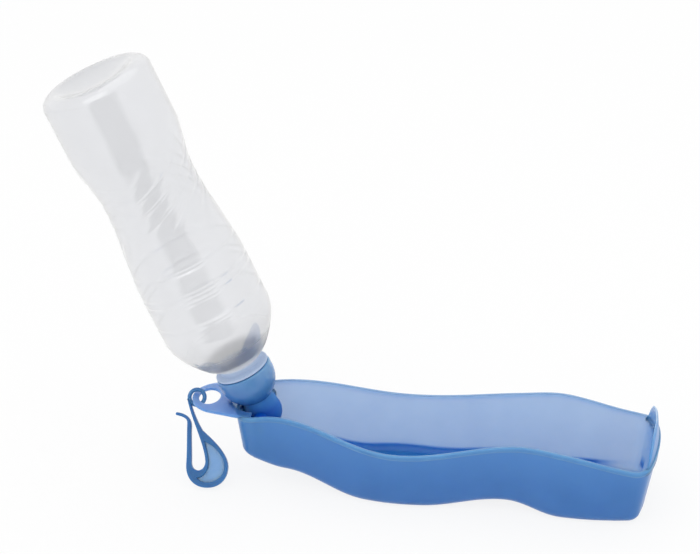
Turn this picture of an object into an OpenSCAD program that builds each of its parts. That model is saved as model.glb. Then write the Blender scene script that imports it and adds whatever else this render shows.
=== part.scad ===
// Travel water bottle for dogs: a squeeze bottle that folds into a wavy drinking trough.
// X runs along the trough, Z is up, and the trough stands on Z = 0.

/* [Trough] */
// Inside end of the nose to the middle of the far end wall
trough_len = 242.6; // [242:0.2:246]
// How far the nose reaches back past the X datum
nose_back = 8; // [7:0.5:9]
// Wall and floor thickness
wall = 1.5; // [1.3:0.1:2]
// Inward slope of the walls, in mm per mm of depth
draft = 0.12; // [0.08:0.01:0.13]
// Radius where the walls meet the floor
floor_r = 6.5; // [5:0.5:7]
// Plan radius of the corners beside the nose
nose_corner = 11.2; // [11:0.2:13]
// Plan radius of the corners at the far end
end_corner = 11; // [10:0.5:14]
// Plan radius of the bowed far end wall
end_bow_r = 84; // [80:1:120]
// How far the drinking edge stands proud of the wall
lip = 0.6; // [0.3:0.1:1]

/* [End tab] */
// Height of the arched tab's top above the ground
tab_top = 57.5; // [52:0.5:60]
// Thickness of the tab
tab_t = 1.4; // [1.2:0.1:1.8]
// Inward lean of the tab, in degrees
tab_lean = 7; // [4:0.5:9]

/* [Tongue] */
// Height of the tongue's top face above the ground
deck_top = 47.6; // [47.2:0.2:47.8]
// Thickness of the tongue
deck_t = 1.8; // [1.6:0.1:2]
// Radius of the tongue's round end
tongue_r = 17.2; // [16.5:0.1:18]
// Half width of the hook hole
hole_r = 6.4; // [6:0.1:6.6]
// Extra length of the hook hole across the tongue
hole_stretch = 5.2; // [4:0.2:6]

/* [Hinge] */
// Distance of the hinge axis from the X datum
hinge_x = 7.6; // [7:0.2:8]
// Height of the hinge axis above the ground
hinge_z = 40.4; // [40:0.2:41]
// Radius of the trunnions on the spout
trunnion_r = 3; // [2.5:0.1:3.5]
// Radial clearance of the trunnions in their bores
trunnion_gap = 0.05; // [0.02:0.01:0.1]
// Lean of the bottle back from upright, in degrees
bottle_lean = 24; // [20:1:26]

/* [Spout and cap] */
// Radius of the spout where it enters the cap
spout_r = 9.2; // [8.6:0.1:9.4]
// Radius of the ball that ends the spout
ball_r = 11; // [10.4:0.1:11]
// Radius of the water way through the spout
water_r = 3.2; // [2.5:0.1:4]
// Radius of the domed cap
cap_r = 17.1; // [16.5:0.1:17.5]
// Distance of the dome's centre from the hinge axis
cap_centre = 24.4; // [24:0.1:25]

/* [Bottle] */
// Radius of the bottle's shoulder
shoulder_r = 33.6; // [32:0.1:34]
// Radius of the waist
waist_r = 28.3; // [26:0.1:29]
// Radius of the lower body
body_r = 33; // [31:0.1:33]
// Distance of the bottle's standing face from the hinge axis
bottle_end = 228.4; // [224:0.1:228.4]
// Wall thickness of the blown body
bottle_wall = 0.45; // [0.35:0.05:0.6]
// Depth of the rings pressed round the body
rib_depth = 0.8; // [0.4:0.1:1]

/* [Hook] */
// Thickness of the hook
hook_t = 4; // [3:0.2:4.4]
// Depth of the recess in each face of the hook
hook_recess = 1.1; // [0.6:0.1:1.4]
// Radius from the ring's centre to the middle of its bar
ring_r = 4.6; // [4.55:0.05:4.8]
// Radius of the ring's bar
ring_bar = 1.25; // [1.05:0.05:1.3]
// Lean of the hook out of upright, in degrees
hook_lean = 33.5; // [33:0.1:35]

/* [Hidden] */
$fn = 64;

// The origin is the middle of the trough's wider resting land, so all parts shift back by this.
land_mid = 86;

// Crests and hollows of the wavy curves, as [distance along the trough, value].
rim_keys = [[-8, 46.6], [21, 49.8], [91, 38.3], [172, 48.4], [241, 38.1]];
width_keys = [[-8, 21.4], [6, 22.4], [92, 35.8], [157, 31.2], [190, 34.8], [241, 33.8]];
floor_keys = [[-12.5, 20.1], [23, 10.3], [72.2, 0], [105.8, 0], [153.7, 5.7], [186.7, 0], [218, 0],
              [241, 1.4]];
draft_keys = [[-8, 0], [90, -0.015], [150, 0.005], [200, -0.054], [240, 0.019]];  // change in draft
end_rim_rise = 6.5;    // the far end's edge is this much higher in the middle than at its corners
lip_h = 2.4;           // height of the drinking edge's band

pivot = [hinge_x, 0, hinge_z];

// Half-cosine curve through the crests and hollows in keys.
function wave(keys, x, i = 0) =
    x <= keys[0][0] ? keys[0][1] :
    i >= len(keys) - 1 ? keys[len(keys) - 1][1] :
    x > keys[i + 1][0] ? wave(keys, x, i + 1) :
    let (t = (x - keys[i][0]) / (keys[i + 1][0] - keys[i][0]))
    keys[i][1] + (keys[i + 1][1] - keys[i][1]) * (1 - cos(180 * t)) / 2;

// n points along a cubic curve, without its last point.
function curve(a, b, c, d, n = 8) = [for (i = [0 : n - 1]) let (t = i / n, s = 1 - t)
    s * s * s * a + 3 * s * s * t * b + 3 * s * t * t * c + t * t * t * d];

// ---- Trough: closed loops of points, from the outer rim down, and up again inside ----

side_step = 6;
nose_cy = wave(width_keys, 0) - nose_corner;
nose_bow = 1;              // the nose wall's middle stands this far ahead of its sides
nose_cx = nose_corner - nose_back + nose_bow;
end_half = wave(width_keys, trough_len);
end_cy = end_half - end_corner;
end_turn = asin(end_cy / (end_bow_r - end_corner));
end_cx = trough_len - end_bow_r + (end_bow_r - end_corner) * cos(end_turn);
side_n = floor((end_cx - nose_cx) / side_step);

function end_x(y, inset) = trough_len - end_bow_r + sqrt(pow(end_bow_r - inset, 2) - y * y);

// Half of the plan loop at a given inset, from the nose's middle to the far end's middle.
// Each entry is a function of its own inset, so the loops never cross in the corners.
nose_steps = 3;
corner_steps = 6;
end_steps = 8;
half_n = nose_steps + corner_steps + side_n + 1 + corner_steps + end_steps + 1;

function plan(i, inset) =
    let (i1 = i - nose_steps, i2 = i1 - corner_steps, i3 = i2 - side_n - 1, i4 = i3 - corner_steps)
    i < nose_steps ? [inset - nose_back + nose_bow * pow(i / nose_steps, 2), nose_cy * i / nose_steps] :
    i1 < corner_steps ?
        let (a = 180 - 90 * i1 / corner_steps, r = nose_corner - inset)
        [nose_cx + r * cos(a), nose_cy + r * sin(a)] :
    i2 <= side_n ?
        let (x = nose_cx + (end_cx - nose_cx) * i2 / side_n)
        [x, wave(width_keys, x) - inset] :
    i3 < corner_steps ?
        let (a = 90 - (90 - end_turn) * (i3 + 1) / corner_steps, r = end_corner - inset)
        [end_cx + r * cos(a), end_cy + r * sin(a)] :
        let (y = (end_cy + (end_corner - inset) * sin(end_turn)) * (1 - (i4 + 1) / (end_steps + 1)))
        [end_x(y, inset), y];

// Height of the drinking edge at loop point i.
function rim_z(i) =
    let (p = plan(i, 0), rise = max(0, p[0] - end_cx) / (trough_len - end_cx))
    wave(rim_keys, p[0]) + end_rim_rise * (1 - pow(p[1] / end_half, 2)) * min(1, 3 * rise);

function floor_z(i) = wave(floor_keys, plan(i, floor_r)[0]);
function slope_at(i) = draft + wave(draft_keys, plan(i, 0)[0]);

// Levels of the outer and the inner skin, each [height, inset] at loop point i.
arc_steps = 4;
function outer_levels(i) =
    let (top = rim_z(i), low = floor_z(i), slope = slope_at(i) * (top - low - floor_r))
    concat([[top, 0], [top - lip_h, 0], [top - lip_h - lip, lip]],
        [for (k = [0 : arc_steps]) let (a = 90 * k / arc_steps)
            [low + floor_r * (1 - sin(a)), lip + slope + floor_r * (1 - cos(a))]]);
function inner_levels(i) =
    let (top = rim_z(i), low = floor_z(i) + wall, r = floor_r - wall,
         slope = slope_at(i) * (top - low - r))
    concat([for (k = [arc_steps : -1 : 0]) let (a = 90 * k / arc_steps)
            [low + r * (1 - sin(a)), lip + wall + slope + r * (1 - cos(a))]],
        [[top - lip_h, lip + wall], [top, lip + wall]]);

// Full loop at one level: the far half forwards, then the near half back.
loop_n = 2 * half_n - 2;
function loop_pt(j, side) =
    let (i = j < half_n ? j : loop_n - j, s = j < half_n ? 1 : -1,
         lv = side[i], p = plan(i, lv[1]))
    [p[0], s * p[1], lv[0]];
function level_sides() =
    let (o = [for (i = [0 : half_n - 1]) outer_levels(i)],
         n = [for (i = [0 : half_n - 1]) inner_levels(i)],
         ko = len(o[0]), kn = len(n[0]))
    concat([for (k = [0 : ko - 1]) [for (i = [0 : half_n - 1]) o[i][k]]],
        [for (k = [0 : kn - 1]) [for (i = [0 : half_n - 1]) n[i][k]]]);

module tray() {
    sides = level_sides();
    count = len(sides);
    outer_count = 3 + arc_steps + 1;
    pts = [for (s = sides) each [for (j = [0 : loop_n - 1]) loop_pt(j, s)]];
    skin = [for (k = [0 : count - 1]) if (k != outer_count - 1)
        let (a = k * loop_n, b = ((k + 1) % count) * loop_n)
        for (j = [0 : loop_n - 1]) let (m = (j + 1) % loop_n)
            each [[a + j, b + m, a + m], [a + j, b + j, b + m]]];
    outer_floor = strip((outer_count - 1) * loop_n, false);
    inner_floor = strip(outer_count * loop_n, true);
    polyhedron(points = pts, faces = concat(skin, outer_floor, inner_floor), convexity = 6);
}

// Floor: cross strips between the two halves of the loop that starts at point 'first'.
function strip(first, up) = [for (i = [0 : half_n - 2])
    let (f0 = first + i, f1 = first + i + 1,
         n0 = first + (loop_n - i) % loop_n, n1 = first + loop_n - i - 1)
    each [for (t = [[f0, f1, n1], [f0, n1, n0]])
        if (t[0] != t[1] && t[1] != t[2] && t[0] != t[2]) up ? t : [t[2], t[1], t[0]]]];

// Far end of the plan as a closed loop, for plates that follow the end wall.
end_first = nose_steps + corner_steps + side_n;
function end_loop(inset) = concat(
    [for (i = [end_first : half_n - 1]) plan(i, inset)],
    [for (i = [half_n - 2 : -1 : end_first]) [plan(i, inset)[0], -plan(i, inset)[1]]]);

module tab_plan() {
    set_in = 0.6;              // the tab stands this far inside the drinking edge
    difference() {
        polygon(end_loop(set_in));
        polygon(end_loop(set_in + tab_t));
    }
}

// Arched tab: it follows the end wall, then leans inwards over the bottle's base.
module end_tab() {
    foot = 37;                 // height of the arch's two feet
    half = 31;
    knee = 42;                 // height at which the lean starts
    sunk = 1.5;                // the tab starts this far below the drinking edge
    arch = [for (y = [half : -half / 16 : -half])
        [y, foot + (tab_top - foot) * (1 - pow(abs(y) / half, 3.2))]];
    intersection() {
        union() {
            translate([0, 0, foot - sunk]) linear_extrude(knee - foot + sunk) tab_plan();
            translate([0, 0, knee])
                multmatrix([[1, 0, -tan(tab_lean), 0], [0, 1, 0, 0], [0, 0, 1, 0], [0, 0, 0, 1]])
                    translate([0, 0, -0.1]) linear_extrude(tab_top) tab_plan();
        }
        translate([trough_len - 30, 0, 0]) rotate([90, 0, 90]) linear_extrude(40)
            polygon(concat([[half, foot - sunk - 1]], arch, [[-half, foot - sunk - 1]]));
    }
}

// Tongue with the hook hole, cut away in a round bay where the cap swings past.
module deck() {
    bay_r = 14.7;
    bay_x = 3.2;
    root_half = 20;
    reach = 35.5;              // the tongue's tip lies this far behind the X datum
    tip_x = tongue_r - reach;
    hole_x = -25.2;
    half_edge = [for (a = [180 : -6 : 102]) [tip_x + tongue_r * cos(a), tongue_r * sin(a)]];
    flank = [[-11, 18.9], [-5.2, root_half], [bay_x, root_half - 0.6]];
    top = concat(half_edge, flank);
    bottom = [for (i = [len(top) - 1 : -1 : 1]) [top[i][0], -top[i][1]]];
    difference() {
        translate([0, 0, deck_top - deck_t]) linear_extrude(deck_t) polygon(concat(top, bottom));
        translate([bay_x, 0, deck_top - 10]) cylinder(r = bay_r, h = 20);
        for (s = [-1, 1])
            translate([hole_x, s * hole_stretch / 2, deck_top - 10]) cylinder(r = hole_r, h = 20);
        translate([hole_x - hole_r, -hole_stretch / 2, deck_top - 10])
            cube([2 * hole_r, hole_stretch, 20]);
    }
}

// Two bosses inside the side walls, bored for the spout's trunnions.
boss_r = 5.2;
boss_face = 16.4;
boss_end = 20.1;
bore_end = 18.9;
module bosses() {
    for (s = [-1, 1]) translate(pivot) rotate([-90 * s, 0, 0])
        translate([0, 0, boss_face]) cylinder(r = boss_r, h = boss_end - boss_face);
}
module boss_bores() {
    for (s = [-1, 1]) translate(pivot) rotate([-90 * s, 0, 0])
        translate([0, 0, boss_face - 1])
            cylinder(r = trunnion_r + trunnion_gap, h = bore_end - boss_face + 1);
}

// Hollow in the nose wall's edge that clears the domed cap when the bottle stands open.
module cap_scoop() {
    scoop_gap = 0.8;
    translate(pivot) rotate([0, -bottle_lean, 0]) translate([0, 0, cap_centre])
        sphere(r = cap_r + scoop_gap, $fn = 48);
}

// Cup on the nose wall that holds the valve seat, cut away where the spout swings.
seat_r = 3.6;
seat_z = hinge_z - 1.6;
seat_back = 3 - nose_back;
seat_cup_h = 3.7;
seat_cup_wall = 1.1;
seat_cup_back = 1.4 - nose_back;
seat_h = 3;
seat_play = 0.05;          // radial clearance of the seat in its pocket
seat_gap = 0.3;
module seat_cup() {
    difference() {
        translate([seat_cup_back, 0, seat_z]) rotate([0, 90, 0])
            cylinder(r = seat_r + seat_cup_wall, h = seat_cup_h);
        spout_sweep();
    }
}

// Pocket for the seat: it reaches through the cup and a little way into the nose wall.
module seat_pocket() {
    translate([seat_back, 0, seat_z]) rotate([0, 90, 0]) cylinder(r = seat_r, h = seat_cup_h);
}

// Room that the spout needs beside the seat when the bottle stands open.
module spout_sweep() {
    translate(pivot) rotate([0, -bottle_lean, 0]) spout_body(seat_gap);
}

// Moves a part from the trough's X datum to the origin on the resting land.
module placed() { translate([-land_mid, 0, 0]) children(); }

// Stands a part that is drawn round its own Z axis on the hinge, leaning like the bottle.
module leaning() { placed() translate(pivot) rotate([0, -bottle_lean, 0]) children(); }

module trough() {
    color("#5c8cc8", 0.75) placed() difference() {
        union() {
            tray();
            end_tab();
            deck();
            bosses();
            seat_cup();
        }
        boss_bores();
        seat_pocket();
        cap_scoop();
    }
}

// Soft pad, dished to the ball, that closes the outlet when the bottle lies in the trough.
module valve_seat() {
    color("#d9dde2") placed() difference() {
        translate([seat_back, 0, seat_z]) rotate([0, 90, 0])
            cylinder(r = seat_r - seat_play, h = seat_h);
        spout_sweep();
    }
}

// ---- Spout, cap and seals: distances are measured along the bottle's axis from the hinge ----

spout_top = 15.4;          // the spout ends level with the cap's inner floor
washer_t = 1.6;
washer_r = 12.3;
washer_bore = 9.6;
mouth = spout_top + washer_t;
groove_depth = 1.1;
groove_low = 11.8;
groove_w = 1.6;

// Ball, flared neck and tube of the spout, grown by a clearance.
module spout_body(grow = 0) {
    flare_low = 1.5;
    flare_top = 9.6;
    sphere(r = ball_r + grow);
    translate([0, 0, flare_low])
        cylinder(r1 = sqrt(ball_r * ball_r - flare_low * flare_low) + grow,
                 r2 = spout_r + 0.2 + grow, h = flare_top - flare_low);
    cylinder(r = spout_r + grow, h = spout_top);
}

// Spout: its ball turns on two trunnions, and its tube is pressed into the cap.
module spout() {
    outlet_r = 2.2;
    trunnion_end = 18.4;
    root_end = 16;             // the trunnions' thicker roots end just short of the bosses
    root_r = 4.6;
    color("#123f8f", 0.85) leaning() difference() {
        union() {
            spout_body();
            rotate([90, 0, 0])
                translate([0, 0, -trunnion_end]) cylinder(r = trunnion_r, h = 2 * trunnion_end);
            rotate([90, 0, 0])
                translate([0, 0, -root_end]) cylinder(r = root_r, h = 2 * root_end);
        }
        cylinder(r = water_r, h = spout_top + 1);
        translate([0, 0, -ball_r - 1]) cylinder(r = outlet_r, h = ball_r + 2);
        translate([0, 0, groove_low]) rotate_extrude()
            translate([spout_r - groove_depth, 0]) square([groove_depth + 1, groove_w]);
    }
}

module spout_o_ring() {
    cord_r = 0.55;
    color("#22262c") leaning() translate([0, 0, groove_low + groove_w / 2])
        rotate_extrude() translate([spout_r - groove_depth + cord_r, 0]) circle(r = cord_r, $fn = 24);
}

module neck_washer() {
    color("#e6e6e6") leaning() translate([0, 0, spout_top]) difference() {
        cylinder(r = washer_r, h = washer_t);
        translate([0, 0, -1]) cylinder(r = washer_bore, h = washer_t + 2);
    }
}

// Domed screw cap: round outside, stepped inside for the washer and the bottle's neck.
thread_r = 13.6;
cap_mouth = 29.9;
module screw_cap() {
    hole = spout_r + 0.02;
    neck_bore = thread_r + 0.08;
    from = asin(hole / cap_r);
    dome = [for (k = [0 : 12]) let (a = from + (90 - from) * k / 12)
        [cap_r * sin(a), cap_centre - cap_r * cos(a)]];
    color("#6b98d0", 0.8) leaning() rotate_extrude()
        polygon(concat(dome, [
            [cap_r, cap_mouth - 0.8], [cap_r - 0.8, cap_mouth], [neck_bore, cap_mouth],
            [neck_bore, mouth - 0.1], [washer_r + 0.1, mouth - 0.1], [washer_r + 0.1, spout_top],
            [hole, spout_top]]));
}

// ---- Bottle: one blown profile, drawn as radius against distance along its axis ----

ring_low = 30.4;
ring_top = 32.4;
ring_flange_r = 16.5;
neck_r = 13;
shoulder_low = 33.4;
shoulder_full = 68;
neck_fillet = 5;           // the shoulder starts this much hollower than its sine curve
neck_fillet_len = 8;
base_round = 7;
grip_low = 93;             // the shoulder's full width ends here, and the waist begins
body_keys = [[shoulder_full, shoulder_r], [grip_low, shoulder_r], [157, waist_r],
             [190, body_r], [bottle_end, body_r]];
rib_places = [58, 62, 79, 84, 100];
rib_half = 2;

function rib(a) = max([for (g = rib_places) let (d = abs(a - g))
    d < rib_half ? rib_depth * (1 + cos(180 * d / rib_half)) / 2 : 0]);
function smooth_r(a) = a < shoulder_full ?
    let (rise = sin(90 * (a - shoulder_low) / (shoulder_full - shoulder_low)),
         hollow = neck_fillet * pow(max(0, 1 - (a - shoulder_low) / neck_fillet_len), 2))
    max(neck_r, neck_r + (shoulder_r - neck_r) * rise - hollow) :
    wave(body_keys, a);
function blown_r(a, depth) =
    let (slope = (smooth_r(a + 0.5) - smooth_r(max(a - 0.5, shoulder_low))))
    smooth_r(a) - rib(a) - depth * sqrt(1 + slope * slope);
wall_steps = [for (a = [shoulder_low + 0.6 : 1 : bottle_end - base_round])
    if (round(a) % 4 == 0 || rib(a) > 0 || a < shoulder_low + neck_fillet_len) a];
base_round_pts = [for (k = [0 : 6]) let (b = 90 * k / 6)
    [body_r - base_round * (1 - cos(b)), bottle_end - base_round * (1 - sin(b))]];
punt_h = 6;                // rise of the hollow in the bottle's base
punt_r = body_r - base_round - 3;
punt = [for (k = [0 : 5]) let (r = punt_r * (1 - k / 5))
    [r, bottle_end - punt_h * (1 - pow(r / punt_r, 2)) - 0.01]];

module bottle() {
    w = bottle_wall;
    finish_bore = 10.9;
    inner_base = [for (p = base_round_pts) let (f = (body_r - w) / body_r)
        [p[0] > body_r - base_round ? p[0] - w * (p[0] - body_r + base_round) / base_round : p[0],
         p[1] - w * (p[1] - bottle_end + base_round) / base_round]];
    outer = concat([[finish_bore, mouth], [thread_r, mouth], [thread_r, ring_low],
                    [ring_flange_r, ring_low], [ring_flange_r, ring_top], [neck_r, ring_top],
                    [neck_r, shoulder_low]],
                   [for (a = wall_steps) [blown_r(a, 0), a]], base_round_pts, punt);
    inner = concat([for (i = [len(punt) - 1 : -1 : 0]) [punt[i][0], punt[i][1] - w]],
                   [for (i = [len(inner_base) - 1 : -1 : 0]) inner_base[i]],
                   [for (i = [len(wall_steps) - 1 : -1 : 0])
                       [blown_r(wall_steps[i], w), wall_steps[i]]],
                   [[finish_bore, shoulder_low]]);
    color("#e4e7ea", 0.35) leaning() rotate_extrude() polygon(concat(outer, inner));
}

// ---- Belt hook: drawn flat, X to the right and Y up, round the middle of its ring ----

hook_edge = concat(
    curve([-1.0, -4.6], [0.9, -10.5], [3.1, -15.8], [5.4, -19.5]),
    curve([5.4, -19.5], [9.0, -22.8], [21.2, -31.0], [22.0, -40.0]),
    curve([22.0, -40.0], [22.4, -48.2], [17.2, -53.4], [9.9, -53.4]),
    curve([9.9, -53.4], [2.8, -53.4], [-2.5, -48.4], [-2.7, -40.5]),
    curve([-2.7, -40.5], [-2.9, -32.0], [-3.9, -23.0], [-4.3, -16.0], 4),
    curve([-4.3, -16.0], [-4.4, -13.2], [-6.6, -12.4], [-11.3, -11.7]),
    curve([-11.3, -11.7], [-12.1, -11.5], [-12.0, -10.1], [-11.1, -9.9], 4),
    curve([-11.1, -9.9], [-6.0, -10.2], [-2.2, -12.5], [-1.7, -17.5]),
    curve([-1.7, -17.5], [-1.4, -25.0], [-0.2, -32.0], [0.3, -39.2], 4),
    curve([0.3, -39.2], [0.6, -45.0], [8.9, -45.2], [8.8, -38.0]),
    curve([8.8, -38.0], [7.8, -27.5], [-0.8, -13.5], [-3.9, -3.2]));
hook_web = concat(
    curve([7.4, -26.2], [12.5, -27.5], [20.0, -33.5], [20.5, -40.0]),
    curve([20.5, -40.0], [20.5, -46.5], [15.5, -50.2], [9.8, -50.2]),
    curve([9.8, -50.2], [6.5, -50.2], [3.6, -48.8], [1.6, -46.3]),
    curve([1.6, -46.3], [5.5, -48.0], [10.4, -45.5], [10.7, -39.5]),
    curve([10.7, -39.5], [10.6, -34.5], [8.2, -29.5], [7.4, -26.2]));

module belt_hook() {
    hang_x = -33.1;
    hang_z = 45.9;
    color("#5383bf", 0.85) placed() translate([hang_x, 0, hang_z])
        rotate([90 - hook_lean, 0, 0]) {
            rotate_extrude() translate([ring_r, 0]) circle(r = ring_bar, $fn = 32);
            difference() {
                translate([0, 0, -hook_t / 2]) linear_extrude(hook_t) polygon(hook_edge);
                for (s = [-1, 1]) translate([0, 0, s * (hook_t - hook_recess) - hook_t / 2])
                    linear_extrude(hook_t) polygon(hook_web);
            }
        }
}

trough();
valve_seat();
bottle();
neck_washer();
screw_cap();
spout();
spout_o_ring();
belt_hook();
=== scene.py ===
"""Dog travel water bottle: looks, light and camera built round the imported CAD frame.

Shapes are drawn in millimetres, with X along the trough from the hinge, Y across it and Z up. Meshes, the
measures inside materials, the camera and the lamps are in metres, with X counted from the frame's origin.
"""
import math

import bpy
import numpy as np
from mathutils import Matrix, Vector


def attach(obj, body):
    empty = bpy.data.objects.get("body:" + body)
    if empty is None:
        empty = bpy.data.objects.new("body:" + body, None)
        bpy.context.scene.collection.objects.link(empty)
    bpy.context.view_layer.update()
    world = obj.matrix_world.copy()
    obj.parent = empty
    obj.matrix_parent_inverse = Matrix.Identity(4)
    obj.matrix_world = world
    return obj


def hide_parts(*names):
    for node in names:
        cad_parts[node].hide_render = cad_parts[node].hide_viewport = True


MM = 0.001
LAND_MID = 86.0            # where the frame's origin lies along the drawing's X

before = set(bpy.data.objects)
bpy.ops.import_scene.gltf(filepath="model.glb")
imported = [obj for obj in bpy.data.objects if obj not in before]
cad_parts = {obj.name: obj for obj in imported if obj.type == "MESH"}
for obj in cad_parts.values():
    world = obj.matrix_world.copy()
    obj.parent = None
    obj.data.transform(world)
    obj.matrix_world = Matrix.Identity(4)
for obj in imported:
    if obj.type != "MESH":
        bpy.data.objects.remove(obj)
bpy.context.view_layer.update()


# ---------------------------------------------------------------- camera
AZIMUTH, ELEVATION = math.radians(8.536), math.radians(27.697)
CAMERA_TARGET, CAMERA_DISTANCE = Vector((-0.02633, 0.0, 0.13458)), 1.10966
LENS, SENSOR_WIDTH = 99.67, 36.0


def make_camera():
    back = Vector((math.sin(AZIMUTH) * math.cos(ELEVATION), -math.cos(AZIMUTH) * math.cos(ELEVATION),
                   math.sin(ELEVATION)))
    right = Vector((math.cos(AZIMUTH), math.sin(AZIMUTH), 0))
    up = back.cross(right)
    data = bpy.data.cameras.new("camera")
    data.lens, data.sensor_width = LENS, SENSOR_WIDTH
    cam = bpy.data.objects.new("camera", data)
    turn = Matrix((right, up, back)).transposed().to_4x4()
    cam.matrix_world = Matrix.Translation(CAMERA_TARGET + back * CAMERA_DISTANCE) @ turn
    bpy.context.scene.collection.objects.link(cam)
    bpy.context.scene.camera = cam


make_camera()


# ---------------------------------------------------------------- node helpers
class Tree:
    """Short way to write the nodes of a material or of the world."""

    def __init__(self, owner, output="ShaderNodeOutputMaterial"):
        owner.use_nodes = True
        self.owner, self.tree = owner, owner.node_tree
        self.tree.nodes.clear()
        self.out = self.add(output)

    def add(self, kind, **values):
        node = self.tree.nodes.new(kind)
        for k, v in values.items():
            setattr(node, k, v)
        return node

    def link(self, a, b):
        self.tree.links.new(a, b)

    def principled(self, **sockets):
        """Principled shader on the output; a socket's spaces are written as underscores."""
        p = self.add("ShaderNodeBsdfPrincipled")
        for k, v in sockets.items():
            p.inputs[k.replace("_", " ")].default_value = v
        self.link(p.outputs[0], self.out.inputs[0])
        return p

    def coords(self):
        return self.add("ShaderNodeTexCoord").outputs["Object"]

    def noise(self, scale, detail=3.0):
        n = self.add("ShaderNodeTexNoise")
        n.inputs["Scale"].default_value = scale
        n.inputs["Detail"].default_value = detail
        self.link(self.coords(), n.inputs["Vector"])
        return n.outputs["Fac"]

    def mottle(self, scale, low, high):
        """Noise between two linear colours."""
        r = self.add("ShaderNodeValToRGB")
        for stop, at, colour in zip(r.color_ramp.elements, (0.3, 0.7), (low, high)):
            stop.position, stop.color = at, (*colour, 1)
        self.link(self.noise(scale), r.inputs[0])
        return r.outputs[0]

    def bump(self, height, strength, distance, shader):
        b = self.add("ShaderNodeBump")
        b.inputs["Strength"].default_value = strength
        b.inputs["Distance"].default_value = distance
        self.link(height, b.inputs["Height"])
        self.link(b.outputs[0], shader.inputs["Normal"])

    def attribute(self, name):
        return self.add("ShaderNodeAttribute", attribute_name=name).outputs["Fac"]

    def blend(self, fac, a, b):
        """Mixes two colours, each a socket or a linear colour."""
        m = self.add("ShaderNodeMix", data_type="RGBA")
        self.link(fac, m.inputs["Factor"])
        for socket, c in ((m.inputs["A"], a), (m.inputs["B"], b)):
            if isinstance(c, tuple):
                socket.default_value = (*c, 1)
            else:
                self.link(c, socket)
        return m.outputs["Result"]

    def mix_shaders(self, fac, a, b):
        m = self.add("ShaderNodeMixShader")
        for socket, source in zip(m.inputs, (fac, a, b)):
            self.link(source, socket)
        return m.outputs[0]

    def span(self, value, low, high, start=0.0, end=1.0, kind="SMOOTHSTEP"):
        """start where the value is low, end where it is high."""
        m = self.add("ShaderNodeMapRange", interpolation_type=kind)
        limits = (("From Min", low), ("From Max", high), ("To Min", start), ("To Max", end))
        for name, number in limits:
            m.inputs[name].default_value = number
        self.link(value, m.inputs["Value"])
        return m.outputs[0]

    def axis(self, name, vector=None):
        """One axis of a vector, which is the place on the object unless another is given."""
        xyz = self.add("ShaderNodeSeparateXYZ")
        self.link(vector or self.coords(), xyz.inputs[0])
        return xyz.outputs[name]

    def math(self, operation, a, b):
        """Arithmetic on two values, each a socket or a float."""
        m = self.add("ShaderNodeMath", operation=operation)
        for socket, v in zip(m.inputs, (a, b)):
            if isinstance(v, float):
                socket.default_value = v
            else:
                self.link(v, socket)
        return m.outputs[0]


def srgb(text):
    """Linear colour of a hexadecimal one."""
    v = [int(text[i:i + 2], 16) / 255 for i in (1, 3, 5)]
    return tuple(c / 12.92 if c <= 0.04045 else ((c + 0.055) / 1.055) ** 2.4 for c in v)


# ---------------------------------------------------------------- materials
PLASTIC_IOR, BOTTLE_IOR = 1.49, 1.52
MOTTLE, GRAIN, GRAIN_DEPTH = 55.0, 1400.0, 0.0002      # noise scales, and the depth in metres


def scatter(shader):
    """Lets light travel inside the plastic, as far as the socket Subsurface Scale says."""
    shader.inputs["Subsurface Weight"].default_value = 1.0
    shader.inputs["Subsurface Radius"].default_value = (1.0, 1.0, 1.0)


def plastic(name, low, high, roughness=0.3, depth=0.004, coat=0.0, second=None, gloss=0.5):
    """Translucent moulded plastic: mottled colour, faint moulding texture, light carried through it.

    depth is how far light travels inside, in metres, and 0 makes it opaque. second = (colour, source)
    blends to a second colour, where source is an attribute's name or (axis, low, high) along the piece,
    in metres.
    """
    t = Tree(bpy.data.materials.new(name))
    p = t.principled(Roughness=roughness, IOR=PLASTIC_IOR, Specular_IOR_Level=gloss,
                     Coat_Weight=coat, Coat_Roughness=0.1)
    if depth:
        scatter(p)
        p.inputs["Subsurface Scale"].default_value = depth
    colour = t.mottle(MOTTLE, srgb(low), srgb(high))
    if second:
        tint, source = second
        fac = t.attribute(source) if isinstance(source, str) else t.span(t.axis(source[0]), *source[1:])
        colour = t.blend(fac, colour, srgb(tint))
    t.link(colour, p.inputs["Base Color"])
    t.bump(t.noise(GRAIN, 2.0), 0.03, GRAIN_DEPTH, p)
    return t.owner


def inside_material():
    """Inside of the trough: pale where light comes through the walls, deep over the shaded floor."""
    t = Tree(bpy.data.materials.new("trough_inside"))
    p = t.principled(Roughness=0.24, IOR=PLASTIC_IOR, Specular_IOR_Level=0.3)
    scatter(p)
    lit = t.attribute("lit")
    deep = t.mottle(30.0, srgb("#2A78C0"), srgb("#307EC6"))
    pale = t.mottle(30.0, srgb("#5C86BE"), srgb("#668EC4"))
    t.link(t.blend(lit, deep, pale), p.inputs["Base Color"])
    t.link(t.span(lit, 0, 1, 0.004, 0.016, "LINEAR"), p.inputs["Subsurface Scale"])
    t.bump(t.noise(900.0, 2.0), 0.02, GRAIN_DEPTH, p)
    return t.owner


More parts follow.
